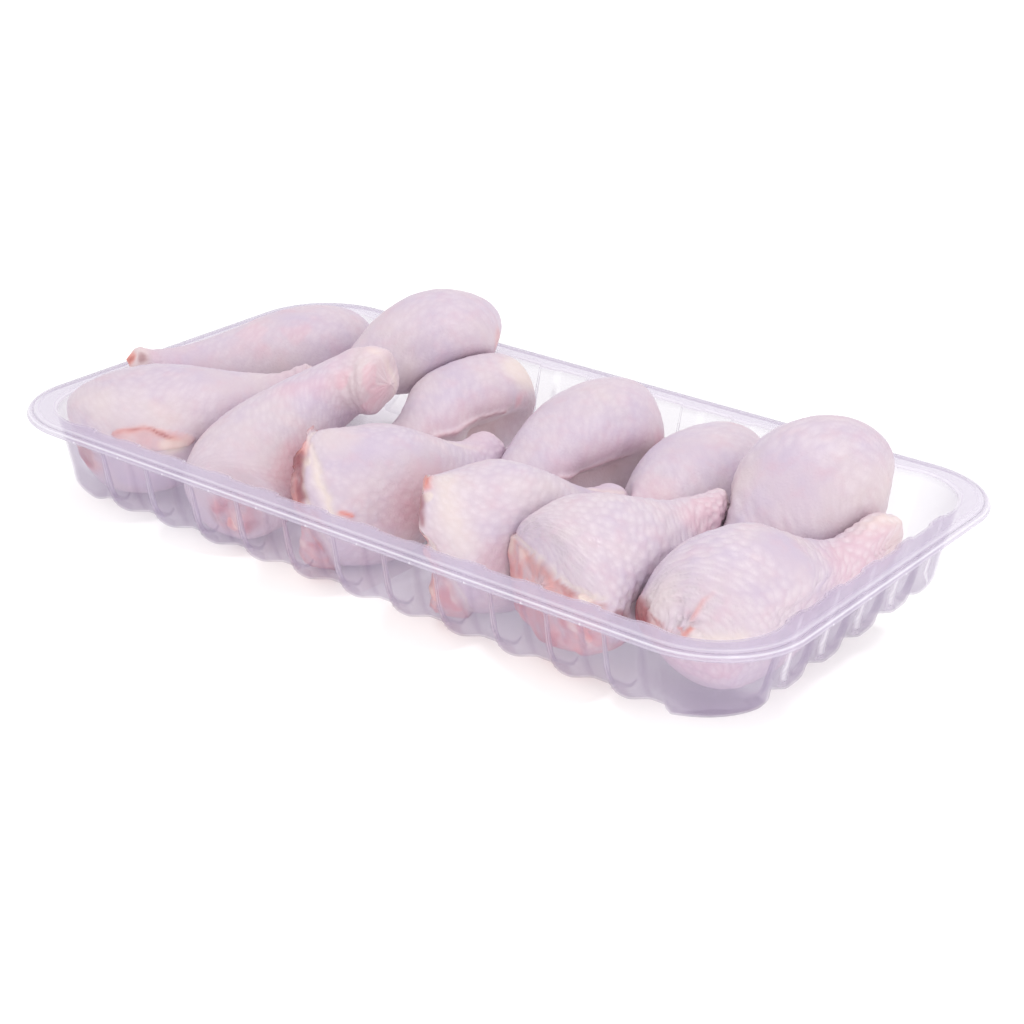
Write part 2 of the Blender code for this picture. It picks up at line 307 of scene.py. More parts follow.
def tray_room(points):
    """Distance from the tray's inner faces, measured from the innermost line of its ribs."""
    x, y, z = points.T
    down = np.clip((TRAY_HEIGHT - z) / (TRAY_HEIGHT - FLOOR_FILLET), 0, 1.2)
    inset = FLANGE_WIDTH + WALL_INSET * down + SHEET
    inset = inset + RECESS_TOP + (RECESS_BOTTOM - RECESS_TOP) * down
    wall = rounded_distance(x, y, inset, WALL_CORNER)
    floor = z - SHEET
    round_off = FLOOR_FILLET - np.hypot(
        np.maximum(FLOOR_FILLET - wall, 0), np.maximum(FLOOR_FILLET - floor, 0)
    )
    inside = np.minimum(np.minimum(wall, floor), round_off)
    above = z - TRAY_HEIGHT
    return np.minimum(np.maximum(inside, above), np.hypot(inside, above) - EDGE_CLEARANCE)


def free_margin(points, piece, others):
    """How far points may still move out before they leave the piece's own share of room."""
    own = piece.depth(points)
    margin = tray_room(points) - CONTACT_GAP
    for other in others:
        margin = np.minimum(margin, other.depth(points) - own - CONTACT_GAP)
    return margin


def trim(points, anchors, piece, others, first=0.06, steps=14, halvings=7):
    """Pull ring points towards their anchors until neighbours and the tray are clear."""
    shape = points.shape
    outer = points.reshape(-1, 3)
    inner = anchors.reshape(-1, 3)
    low = np.zeros(len(outer))
    high = np.ones(len(outer))
    open_ones = np.arange(len(outer))
    for share in np.linspace(first, 1.0, steps):
        at = inner[open_ones] + share * (outer[open_ones] - inner[open_ones])
        bad = free_margin(at, piece, others) < 0
        high[open_ones[bad]] = share
        open_ones = open_ones[~bad]
        low[open_ones] = share
    hit = np.setdiff1d(np.arange(len(outer)), open_ones)
    low[open_ones] = 1.0
    low[hit] = high[hit] - (1.0 - first) / (steps - 1)
    for _ in range(halvings):
        middle = (low[hit] + high[hit]) / 2
        at = inner[hit] + middle[:, None] * (outer[hit] - inner[hit])
        good = free_margin(at, piece, others) >= 0
        low[hit[good]] = middle[good]
        high[hit[~good]] = middle[~good]
    low = np.maximum(low, 0)
    return (inner + low[:, None] * (outer - inner)).reshape(shape)


def relax(points):
    """Ease the creases of the ring points once, leaving the two end rings."""
    around = (np.roll(points, 1, axis=1) + np.roll(points, -1, axis=1)) / 2
    eased = points.copy()
    ahead = (points[:-2] + points[2:]) / 2
    eased[1:-1] = 0.5 * points[1:-1] + 0.25 * around[1:-1] + 0.25 * ahead
    return eased


def neighbours(piece):
    """The other drumsticks that come near enough to touch this one."""
    near = []
    for other in DRUMSTICKS:
        gaps = np.linalg.norm(piece.centres[:, None] - other.centres[None], axis=2)
        if other is not piece and gaps.min() < NEAR:
            near.append(other)
    return near


def weights(places, count, wrap):
    """Rows that mix a row of knots into the values at places between them, smoothly."""
    rows = np.zeros((len(places), count))
    cell = np.floor(places).astype(int)
    if not wrap:
        cell = np.minimum(cell, count - 2)
    f = places - cell
    parts = (
        (-1, -0.5 * f + f**2 - 0.5 * f**3),
        (0, 1 - 2.5 * f**2 + 1.5 * f**3),
        (1, 0.5 * f + 2 * f**2 - 1.5 * f**3),
        (2, -0.5 * f**2 + 0.5 * f**3),
    )
    for shift, weight in parts:
        at = cell + shift
        at = at % count if wrap else np.clip(at, 0, count - 1)
        np.add.at(rows, (np.arange(len(places)), at), weight)
    return rows


def fine_rings(piece):
    """The trimmed drumstick on a fine grid: points, and each point's share of the length."""
    others = neighbours(piece)
    points, anchors = piece.rings(COARSE_RINGS, COARSE_SEGMENTS)
    points = trim(points, anchors, piece, others)
    for _ in range(2):
        points = trim(relax(points), anchors, piece, others)
    points = relax(points)
    rings, segments = FRONT_GRID if "front" in piece.name else BACK_GRID
    down = weights(np.linspace(0, COARSE_RINGS - 1, rings), COARSE_RINGS, False)
    across = weights(np.arange(segments) * COARSE_SEGMENTS / segments, COARSE_SEGMENTS, True)
    return np.einsum("ri,ijk,sj->rsk", down, points, across)


def normals(points):
    """Outward directions of a ring grid."""
    ahead = np.gradient(points, axis=0)
    around = np.roll(points, -1, axis=1) - np.roll(points, 1, axis=1)
    out = np.cross(around, ahead)
    length = np.linalg.norm(out, axis=2, keepdims=True)
    return out / np.maximum(length, 1e-9)


def grid_mesh(name, points, masks, wrap=True):
    """A mesh object from a grid of points, closed round its rings, with named masks on it."""
    rows, columns = points.shape[:2]
    mesh = bpy.data.meshes.new(name)
    index = np.arange(rows * columns).reshape(rows, columns)
    a = index[:-1]
    b = index[1:]
    if wrap:
        quads = np.stack([a, b, np.roll(b, -1, axis=1), np.roll(a, -1, axis=1)], axis=-1)
    else:
        quads = np.stack([a[:, :-1], b[:, :-1], b[:, 1:], a[:, 1:]], axis=-1)
    quads = quads.reshape(-1, 4)
    mesh.vertices.add(rows * columns)
    mesh.vertices.foreach_set("co", (points.reshape(-1) * MM).astype(np.float32))
    mesh.loops.add(quads.size)
    mesh.loops.foreach_set("vertex_index", quads.reshape(-1).astype(np.int32))
    mesh.polygons.add(len(quads))
    mesh.polygons.foreach_set("loop_start", np.arange(0, quads.size, 4, dtype=np.int32))
    mesh.update(calc_edges=True)
    mesh.polygons.foreach_set("use_smooth", np.ones(len(quads), bool))
    for label, values in masks.items():
        layer = mesh.attributes.new(label, "FLOAT", "POINT")
        layer.data.foreach_set("value", values.reshape(-1).astype(np.float32))
    item = bpy.data.objects.new(name, mesh)
    bpy.context.scene.collection.objects.link(item)
    return item


def pimples(along, around, spacing, seed):
    """Height from 0 to 1 of small round bumps in uneven slanting rows, at places on the skin."""
    u = (0.8 * along + 0.6 * around) / spacing
    v = (0.8 * around - 0.6 * along) / spacing
    row = np.floor(u)
    best = np.zeros_like(u)
    for near_row in (-1, 0, 1):
        line = row + near_row
        shifted = v + 0.5 * (line % 2)
        column = np.floor(shifted)
        for near_column in (-1, 0, 1):
            cell = np.stack([line, column + near_column], axis=-1).astype(np.int64)
            du = u - (line + 0.5 + 0.6 * (scatter(cell, seed) - 0.5))
            dv = shifted - (column + near_column + 0.5 + 0.6 * (scatter(cell, seed + 1) - 0.5))
            size = 0.5 + 1.0 * scatter(cell, seed + 2)
            best = np.maximum(best, np.minimum(size, 1.0) * np.exp(-5.5 * (du**2 + dv**2) / size))
    return best


def at(x, y, z):
    """A place given from the tray's front left corner and up from its flange."""
    return np.array([x - TRAY_LENGTH / 2, y - TRAY_WIDTH / 2, z + TRAY_HEIGHT])


def patch(points, centre, radii, edge=0.4):
    """1 inside an upright oval round a place, fading to 0 outside it."""
    off = (points - at(*centre)) / np.array(radii)
    return smooth((1 + edge - np.linalg.norm(off, axis=-1)) / (2 * edge))


def slit(points, first, last, upper, lower, edge=0.7):
    """Share inside a lens-shaped opening between two places, and the height in it from its top."""
    a, b = at(*first), at(*last)
    run = b - a
    u = (points - a) @ run / (run @ run)
    v = points[..., 2] - a[2] - u * run[2]
    bow = np.sqrt(np.clip(4 * u * (1 - u), 0, 1))
    aside = np.linalg.norm((points - a)[..., :2] - u[..., None] * run[:2], axis=-1)
    inside = smooth((upper * bow - v) / edge) * smooth((v + lower * bow) / edge)
    return inside * (bow > 0) * smooth((22 - aside) / 4), upper * bow - v


def stroke(points, path, width):
    """1 along a line through places, fading softly to a third at its width from it."""
    best = np.full(points.shape[:-1], 1000.0)
    for first, last in zip(path[:-1], path[1:]):
        a, b = at(*first), at(*last)
        run = b - a
        u = np.clip((points - a) @ run / (run @ run), 0, 1)
        best = np.minimum(best, np.linalg.norm(points - a - u[..., None] * run, axis=-1))
    return np.exp(-1.2 * (best / width) ** 2)


class Skin:
    """The fine grid of one drumstick, with the height and the colour masks laid on it."""

    def __init__(self, piece, number):
        self.piece = piece
        self.number = number
        self.points = fine_rings(piece)
        self.out = normals(self.points)
        shape = self.points.shape[:2]
        self.length = np.linalg.norm(piece.centres[0] - piece.centres[-1])
        self.t = np.linspace(0, 1, shape[0])[:, None] * np.ones(shape[1])
        girth = np.linalg.norm(self.points - self.points.mean(axis=1, keepdims=True),
                               axis=2).mean(axis=1)
        angle = (np.linspace(0, 2 * np.pi, shape[1], endpoint=False) + np.pi / 2)[None, :] % (2 * np.pi)
        self.around = angle * np.maximum(girth[:, None], 12.0)
        self.height = np.zeros(shape)
        self.masks = {name: np.zeros(shape) for name in MASKS}

    def add(self, name, values, most=1.0):
        """Lay a mask over what is there."""
        self.masks[name] = np.maximum(self.masks[name], most * values)

    def spot(self, name, centre, radii, most=1.0, edge=0.4):
        ragged = self.points + 1.5 * noise(self.points, 5.0, self.number + 7)[..., None]
        self.add(name, patch(ragged, centre, radii, edge), most)

    def line(self, name, path, width, most=1.0, raised=0.0):
        """A ragged line of a colour, raised or sunk by a height."""
        ragged = self.points + 0.5 * noise(self.points, 3.0, self.number + 5)[..., None]
        share = stroke(ragged, path, width)
        self.height += raised * share
        if most:
            self.add(name, share, most)

    def crease(self, path, depth, roll):
        """A fold above a wide roll of flesh, with painted shade: a pink band above the fold and dark red
        in its narrow groove. The cream below it is the pale flesh's colour, and also painted light in
        the shade under the fold.
        """
        self.roll(roll, 11.0, 10.0)
        above = [(x, y, z + 5.0) for x, y, z in path]
        below = [(x, y, z - 5.5) for x, y, z in path]
        # Painted shade: a pink band on the underside above the fold
        self.line("rosy_and_shade", above, 6.5, 0.45)
        # Pale flesh below the fold, its cream also painted light in the fold's shade
        self.line("cream", below, 8.0, 0.6)
        # Painted shade: pink and dark red in the sunk groove
        self.line("rosy_and_shade", path, 1.3, 0.8, -depth)
        self.line("blood", path, 0.8, 0.22)

    def roll(self, path, raised, width):
        """A wide swelling of paler flesh that fills the room beside the drumstick; its cream is partly
        painted light on flesh that lies in shade.
        """
        share = stroke(self.points, path, width)
        self.height += raised * share
        # Cream and pink: the flesh's own pale colour, and painted light in the shade there
        self.add("cream", share, 0.7)
        self.add("rosy_and_shade", share, 0.3)

    def drop(self, *places):
        """Small wet beads that catch the light."""
        for place in places:
            share = patch(self.points, place, (2.6, 2.6, 2.2), 0.8)
            self.height += 0.25 * share
            self.add("wet", share)

    def pebble(self, strength, spacing, low=-0.9):
        """Rows of small bumps, stronger in some places than in others."""
        pore = pimples(self.t * self.length, self.around, spacing, 11 * self.number)
        pore = pore * smooth((noise(self.points, 26.0, self.number) - low) / 0.9)
        self.add("pore", pore, min(1.0, 0.35 + 0.7 * strength))
        self.height += strength * pore

    def bare(self, field, where, recess=2.4, red=0.4):
        """Meat where the field is above 0, with the skin's ragged cream edge along its border."""
        ragged = field + 0.9 * noise(self.points, 6.0, self.number + 2)
        ragged = ragged + 0.3 * noise(self.points, 2.5, self.number)
        under = smooth(ragged / 0.9) * where
        edge = np.exp(-(((ragged + 0.9) / 1.0) ** 2)) * where
        self.height += 0.5 * edge - under * (recess + 0.9 * noise(self.points, 5.5, self.number + 3))
        self.add("meat", under)
        self.add("cream", edge, 0.7)
        self.add("blood", under * smooth((noise(self.points, 9.0, self.number + 6) - 0.05) / 0.3), red)
        self.add("blood", under * np.exp(-(((ragged - 0.9) / 0.7) ** 2)), 0.5 * red)
        self.add("cream", under * smooth((noise(self.points, 5.5, self.number + 12) - 0.25) / 0.4), 0.6)

    def cap(self):
        """The face of a cut end: a groove inside the skin's edge and lobes of meat."""
        rim = self.points[0]
        middle = rim.mean(axis=0)
        back = self.piece.along[0]
        profile = ((0.86, 0.3), (0.8, 1.4), (0.74, 2.2), (0.66, 1.6), (0.55, 0.8), (0.44, 0.9))
        profile += ((0.34, 1.8), (0.24, 1.6), (0.14, 0.8), (0.01, 0.7))
        rings = []
        for share, depth in profile:
            ring = middle + share * (rim - middle)
            rings.append(ring + (depth + 2.2 * noise(ring, 11.0, self.number + 60))[:, None] * back)
        extra = np.zeros((len(profile), len(rim)))
        self.points = np.concatenate([np.stack(rings[::-1]), self.points])
        self.out = normals(self.points)
        self.height = np.concatenate([extra, self.height])
        for name, values in self.masks.items():
            self.masks[name] = np.concatenate([extra + (name == "meat"), values])

    def mesh(self):
        """The finished mesh object, which takes the solid's place."""
        points = self.points + self.out * self.height[..., None]
        item = grid_mesh(self.piece.name + "_flesh", points, self.masks)
        item.data.materials.append(skin_material(self.piece.name, self.number))
        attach(item, "root")
        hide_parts(self.piece.name)
        return item


def ankle(skin, pink=0.35):
    """The thin end: pinker, wrinkled round, with a pale tip."""
    neck = smooth((skin.t - 0.62) / 0.2)
    skin.add("rosy_and_shade", neck * (0.6 + 0.4 * noise(skin.points, 6.0, skin.number + 3)), pink)
    skin.add("cream", smooth((skin.t - 0.9) / 0.06), 0.4)
    folds = np.sin(skin.t * skin.length * 1.1 + 4.0 * noise(skin.points, 14.0, skin.number + 9))
    skin.height += 0.3 * neck * folds * (0.5 + 0.5 * noise(skin.points, 10.0, skin.number + 13))


def height_of(skin):
    """How far the skin is above the tray's flange."""
    return skin.points[..., 2] - TRAY_HEIGHT


def from_cut(skin):
    """How far along its bone the skin is from the cut end."""
    return (skin.points - skin.piece.centres[0]) @ skin.piece.along[0]


def front_1(skin):
    """A shallow slit in the skin near the tray's wall shows the muscle."""
    inside, below = slit(skin.points, (61, 15, -1), (88, 36, -4), 4.6, 5.0)
    skin.height -= 1.6 * inside * smooth(below / 1.5)
    skin.height += 0.5 * inside * noise(skin.points, 4.0, 5)
    skin.add("meat", inside * smooth(below / 0.6), 0.4)
    skin.spot("cream", (82, 30, -5), (7, 6, 4), 0.9)
    edge = [(61, 15, -1), (66, 18, 1), (72, 23, 2), (79, 29, -1), (88, 36, -4)]
    skin.line("orange", edge, 1.4, 0.45)
    skin.line("blood", edge, 0.6, 0.5, -0.5)
    skin.line("orange", [(72, 20, -3), (77, 24, -4)], 1.6, 0.3)
    skin.line("meat", [(79, 29, -1), (84, 32, -3), (88, 36, -4)], 1.0, 0.6)
    skin.spot("cream", (60, 26, 5), (26, 14, 9), 0.35)
    field = -12 - height_of(skin) - 0.35 * (skin.points[..., 0] + 150)
    skin.bare(field, patch(skin.points, (34, 22, -18), (14, 10, 9)), 1.0)


def front_2(skin):
    """The knuckle is pink and mottled, with a white far edge."""
    mottle = smooth((noise(skin.points, 6.0, 21) + 0.4) / 0.7)
    skin.add("rosy_and_shade", mottle * patch(skin.points, (139, 84, 20), (12, 14, 11)), 0.8)
    skin.spot("cream", (139, 86, 22), (12, 14, 12), 0.35)
    skin.line("cream", [(138, 93, 33), (143, 97, 25), (143, 101, 18), (141, 98, 11)], 3.5, 0.95, 0.5)
    skin.line("rosy_and_shade", [(116, 60, 18), (129, 74, 21)], 5.5, 0.5, -0.3)
    skin.spot("rosy_and_shade", (136, 48, -5), (7, 14, 13), 0.7)
    skin.drop((132, 52, 12))
    bulge = smooth((skin.t - 0.72) / 0.1)
    skin.height += 0.9 * patch(skin.points, (132, 84, 30), (7, 7, 5))
    skin.height += 1.3 * noise(skin.points, 10.0, 4) * bulge
    skin.bare(-12 - height_of(skin), patch(skin.points, (124, 20, -22), (12, 10, 9)), 1.0)


def front_3(skin):
    """A cut end with lobes of meat beside the skin's edge, and a red nick in the skin below."""
    line = np.interp(height_of(skin), (-22, 0, 7, 12, 17), (12, 3.0, 1.5, 0.8, 0.6))
    skin.bare(line - from_cut(skin), 1.0, 2.2, 0.4)
    edge = [(159, 30, 15), (166, 25, 11), (171, 21, 6), (176, 20, 0), (180, 19, -7)]
    skin.line("cream", edge, 2.3, 1.0, 0.9)
    skin.spot("cream", (163, 25, 12), (2.4, 2.4, 2.4), 1.0)
    skin.line("blood", [(158, 25, 13), (162, 20, 9), (165, 17, 4), (167, 16, 0)], 2.0, 0.75, -0.8)
    skin.line("orange", [(152, 31, 18), (157, 27, 16), (158, 25, 14)], 2.2, 0.75)
    skin.line("orange", [(172, 17, -6), (176, 17, -12)], 2.2, 0.6)
    skin.line("orange", [(181, 22, -5), (184, 25, -6)], 1.2, 0.9, -0.6)
    skin.spot("cream", (164, 38, 12), (11, 10, 9), 0.35)
    skin.spot("rosy_and_shade", (200, 52, -4), (12, 22, 14), 0.5)
    skin.line("cream", [(180, 84, 5), (188, 104, 1)], 2.5, 0.6, 0.5)


def front_4(skin):
    """A cut end with yellowish fat under the skin's edge."""
    line = np.interp(height_of(skin), (-22, -1, 3, 8, 13, 17), (13, 3.1, -0.4, -2.0, -1.4, 0.0))
    skin.bare(line - from_cut(skin), 1.0, 2.0, 0.15)
    skin.line("cream", [(223, 34, 18), (230, 26, 13), (237, 22, 6), (243, 22, -1)], 6.5, 0.75)
    skin.spot("cream", (224, 24, 14), (2.5, 2.5, 2.5), 1.0)
    skin.line("blood", [(221, 22, 14), (224, 19, 11), (227, 15, 6)], 1.8, 0.7, -0.8)
    skin.line("orange", [(214, 34, 18), (218, 29, 17), (220, 27, 15)], 2.4, 0.75)
    skin.line("orange", [(233, 15, -8), (236, 15, -14)], 2.0, 0.6)
    skin.spot("rosy_and_shade", (255, 32, -6), (10, 12, 8), 0.3)
    skin.line("cream", [(249, 92, 2), (256, 108, -3)], 2.0, 0.7, 0.5)
    skin.line("rosy_and_shade", [(253, 88, 1), (259, 105, -5)], 1.2, 0.8, -0.4)


def front_5(skin):
    """The skin ends in a ragged line above the flange, with meat, a tendon and torn skin under it."""
    x = skin.points[..., 0] + TRAY_LENGTH / 2
    y = skin.points[..., 1] + TRAY_WIDTH / 2
    line = np.interp(x, (252, 260, 270, 280, 292, 303, 310), (3.0, 2.6, 2.0, 0.8, -0.3, -1.0, -2.2))
    skin.bare(line - height_of(skin), smooth((310 - x) / 3) * smooth((44 - y) / 6), 1.2, 0.2)
    skin.spot("cream", (254, 34, 0), (5, 5, 5), 0.8)
    skin.line("blood", [(255, 33, -2), (262, 28, -3), (271, 24, -2), (280, 21, -3)], 1.0, 0.6, -1.0)
    skin.line("orange", [(261, 29, 1), (271, 25, 0), (280, 22, -1)], 1.2, 0.7)
    skin.line("cream", [(258, 31, -5), (265, 27, -6), (272, 24, -5), (278, 21, -4)], 1.8, 1.0, 0.9)
    skin.line("cream", [(283, 20, -2), (297, 16, -2)], 1.7, 1.0, 0.4)
    skin.line("orange", [(281, 21, -1), (292, 18, -1), (299, 16, -1)], 0.8, 0.9)
    skin.spot("cream", (302, 17, -1), (4, 3, 2), 1.0)
    skin.spot("blood", (312, 22, -9), (3, 8, 3), 0.6)
    skin.drop((296, 30, 15))
    skin.spot("rosy_and_shade", (303, 94, 6), (8, 18, 10), 0.65)


def front_6(skin):
    """The skin is gathered in a puckered fold at the thick end, with wrinkles round it."""
    off = skin.points - at(341, 22, -1)
    reach = np.linalg.norm(off, axis=-1)
    turn = np.arctan2(off[..., 2], off[..., 0])
    near = smooth(reach / 3) * (off[..., 1] < 24)
    wander = noise(skin.points, 9.0, 8)
    skin.height += 1.0 * np.exp(-reach / 9) * near * np.sin(7 * turn + 3.5 * wander)
    rings = np.sin(reach * 1.7 + 3.5 * wander) * smooth((30 - reach) / 12) * smooth(-off[..., 0] / 6)
    skin.height += 0.2 * near * rings
    skin.line("orange", [(343, 21, 1), (344, 23, 4), (345, 26, 8), (347, 29, 10)], 1.1, 0.4, -1.2)
    skin.line("orange", [(339, 22, -3), (341, 22, -5), (343, 22, -2)], 1.1, 0.8, -0.6)
    skin.line("cream", [(345, 23, -5), (352, 25, -5), (359, 29, -4)], 4.0, 0.8)
    skin.spot("cream", (328, 27, 3), (8, 10, 8), 0.35)
    line = np.interp(skin.points[..., 0] + TRAY_LENGTH / 2, (314, 334), (0.0, -3.6))
    skin.bare(line - height_of(skin), patch(skin.points, (320, 26, -8), (16, 12, 8)), 1.2, 0.9)
    skin.spot("blood", (318, 27, -7), (9, 8, 6), 0.7)
    skin.spot("rosy_and_shade", (364, 106, 4), (12, 22, 14), 0.6)
    skin.line("cream", [(358, 122, 11), (366, 132, 10), (371, 137, 6)], 5.5, 1.0)
    skin.line("blood", [(373, 134, 7), (374, 138, 4)], 2.0, 0.7)
    skin.spot("rosy_and_shade", (346, 24, -18), (18, 12, 8), 0.5)
    skin.drop((355, 30, 7), (357, 29, 0), (330, 32, 12))


def back_1(skin):
    """The ankle's cut end lies on the flange, with two red spots on it."""
    knob = smooth((skin.t - 0.86) / 0.06)
    skin.height += 1.8 * knob * smooth(skin.out[..., 2] + 0.3)
    skin.add("cream", knob, 0.6)
    skin.spot("orange", (12, 68, 5), (5, 5, 7), 0.8)
    skin.spot("blood", (14, 67, 7), (2.5, 3, 3.5), 0.5)
    skin.spot("blood", (22, 72, 9), (4, 3, 3), 0.5)
    mottle = smooth((noise(skin.points, 7.0, 14) - 0.1) / 0.5)
    skin.add("rosy_and_shade", mottle * patch(skin.points, (48, 140, 14), (24, 34, 14)), 0.4)


def back_2(skin):
    """An orange tint shows at the thick end."""
    skin.spot("orange", (138, 183, 14), (4, 6, 8), 0.35)
    skin.roll([(103, 136, -14), (110, 152, -14)], 9.0, 12.0)
    skin.drop((119, 137, 16))


def back_3(skin):
    """A fold along the lower side, and fat at the thick end."""
    fold = [(159, 108, -5), (161, 118, -6), (162, 127, -4), (164, 136, -3), (166, 149, -4)]
    skin.crease(fold, 1.8, [(165, 136, -13), (167, 148, -15), (169, 159, -15)])
    skin.roll([(134, 110, -8), (132, 121, -8)], 6.0, 9.0)
    skin.spot("cream", (158, 169, 7), (10, 10, 9), 0.9)
    skin.spot("rosy_and_shade", (168, 162, 1), (3, 8, 7), 1.0)


def back_4(skin):
    """A wrinkled fold along the lower side with a line of painted shade in it, and a red edge behind."""
    fold = [(223, 110, -7), (226, 116, -8), (229, 124, -7), (232, 136, -5), (235, 146, -7),
            (238, 156, -4)]
    skin.crease(fold, 1.8, [(228, 124, -14), (231, 134, -14), (234, 145, -13)])
    skin.drop((221, 117, 0))
    # Painted shade: a dark red line along the fold
    skin.line("blood", [(228, 121, -7), (233, 138, -6)], 0.9, 0.35)
    across = skin.points @ np.array([0.5, -0.8, 0.33])
    skin.height += 0.22 * np.sin(3.2 * across) * patch(skin.points, (232, 138, -1), (7, 18, 6))
    skin.spot("rosy_and_shade", (240, 163, 0), (5, 12, 12), 1.0)
    skin.spot("blood", (243, 162, -1), (3, 11, 9), 0.35)


def back_5(skin):
    """Pink towards the ankle, between its neighbours."""
    skin.spot("rosy_and_shade", (268, 108, 0), (14, 12, 12), 0.35)


def back_6(skin):
    """A little fat on the far shoulder."""
    skin.spot("cream", (350, 158, 8), (8, 14, 14), 0.35)


OWN_LOOKS = (front_1, front_2, front_3, front_4, front_5, front_6)
OWN_LOOKS += (back_1, back_2, back_3, back_4, back_5, back_6)
PEBBLES = {
    "front_3": (0.42, 3.2),
    "front_4": (0.42, 3.3),
    "front_5": (0.75, 3.7),
    "front_6": (0.95, 4.0),
    "back_6": (0.55, 3.6),
}


def drumstick(piece, number):
    """One drumstick with its skin."""
    skin = Skin(piece, number)
    short = piece.name.replace("drumstick_", "")
    skin.pebble(*PEBBLES.get(short, (0.25, 3.0)))
    ankle(skin)
    skin.height += 0.35 * noise(skin.points, 13.0, number + 20) + 0.14 * noise(skin.points, 4.5,
                                                                               number + 40)
    OWN_LOOKS[number](skin)
    if piece.cut:
        skin.cap()
    skin.mesh()


class Nodes:
    """Short hands for a material's node tree."""

    def __init__(self, name):
        self.material = bpy.data.materials.new(name)
        self.material.use_nodes = True
        self.tree = self.material.node_tree
        self.shader = self.tree.nodes["Principled BSDF"]
        self.place = self.tree.nodes.new("ShaderNodeTexCoord").outputs["Object"]

    def put(self, kind, inputs=None, **settings):
        node = self.tree.nodes.new("ShaderNode" + kind)
        for key, value in settings.items():
            setattr(node, key, value)
        for key, value in (inputs or {}).items():
            self.feed(node.inputs[key], value)
        return node

    def feed(self, socket, value):
        if isinstance(value, bpy.types.NodeSocket):
            self.tree.links.new(value, socket)
        else:
            socket.default_value = value

    def mask(self, label):
        return self.put("Attribute", attribute_name=label).outputs["Fac"]

    def cloud(self, size_mm, detail=3.0, low=0.35, high=0.65):
        """Noise of the given feature size, spread between 0 and 1."""
        base = self.put("TexNoise", {"Vector": self.place, "Scale": 1000.0 / size_mm, "Detail": detail})
        return self.span(base.outputs["Fac"], low, high)

    def span(self, value, low, high, bottom=0.0, top=1.0):
        ranged = self.put("MapRange", {"Value": value, 1: low, 2: high, 3: bottom, 4: top})
        return ranged.outputs["Result"]

    def times(self, a, b):
        return self.put("Math", {0: a, 1: b}, operation="MULTIPLY").outputs[0]

    def plus(self, a, b):
        return self.put("Math", {0: a, 1: b}, operation="ADD").outputs[0]

    def blend(self, share, a, b, mode="MIX"):
        mixed = self.put("MixRGB", {"Fac": share, "Color1": a, "Color2": b}, blend_type=mode)
        return mixed.outputs["Color"]


def rgb(red, green, blue):
    """A colour given as it looks on screen, from 0 to 255."""
    return (*[(value / 255) ** 2.2 for value in (red, green, blue)], 1.0)


def skin_material(name, number):
    """Raw chicken skin with cream fat under it, and the meat where a cut shows it."""
    nodes = Nodes(name + "_skin")
    shader = nodes.shader
    base = nodes.blend(nodes.cloud(24), rgb(196, 180, 199), rgb(205, 187, 198))
    base = nodes.blend(nodes.times(nodes.cloud(34, low=0.52, high=0.75), 0.4), base, rgb(216, 201, 194))
    base = nodes.blend(nodes.times(nodes.cloud(8, low=0.5, high=0.8), 0.35), base, rgb(208, 168, 182))
    # Cream: fat and pale flesh, and also painted light in the shade under the folds
    base = nodes.blend(nodes.times(nodes.mask("cream"), 0.8), base, rgb(226, 210, 201))
    # Pink: the skin's own pink, and also painted shade along the folds
    base = nodes.blend(nodes.times(nodes.mask("rosy_and_shade"), 0.8), base, rgb(219, 172, 184))
    base = nodes.blend(nodes.times(nodes.mask("pore"), 0.55), base, rgb(228, 216, 222))
    flesh = nodes.blend(nodes.cloud(6, 4.0), rgb(214, 160, 160), rgb(198, 172, 180))
    flesh = nodes.blend(nodes.times(nodes.cloud(11, 2.0, 0.5, 0.65), 0.6), flesh, rgb(190, 106, 112))
    base = nodes.blend(nodes.mask("meat"), base, flesh)
    fat = nodes.blend(nodes.mask("cream"), rgb(218, 178, 180), rgb(236, 218, 210))
    base = nodes.blend(nodes.times(nodes.mask("cream"), nodes.mask("meat")), base, fat)
    base = nodes.blend(nodes.mask("orange"), base, rgb(216, 124, 110))
    # Dark red: the cut meat's own red, and also painted shade in the folds
    base = nodes.blend(nodes.mask("blood"), base, rgb(122, 24, 42))
    nodes.feed(shader.inputs["Base Color"], base)
    dull = nodes.plus(nodes.times(nodes.cloud(16), 0.14), 0.38)
    nodes.feed(shader.inputs["Roughness"], nodes.plus(dull, nodes.times(nodes.mask("wet"), -0.34)))
    shader.inputs["IOR"].default_value = 1.4
    grain = nodes.cloud(1.1, 2.0, 0.3, 0.7)
    bump = nodes.put("Bump", {"Height": grain, "Strength": 0.2, "Distance": 0.0004})
    nodes.feed(shader.inputs["Normal"], bump.outputs["Normal"])
    return nodes.material


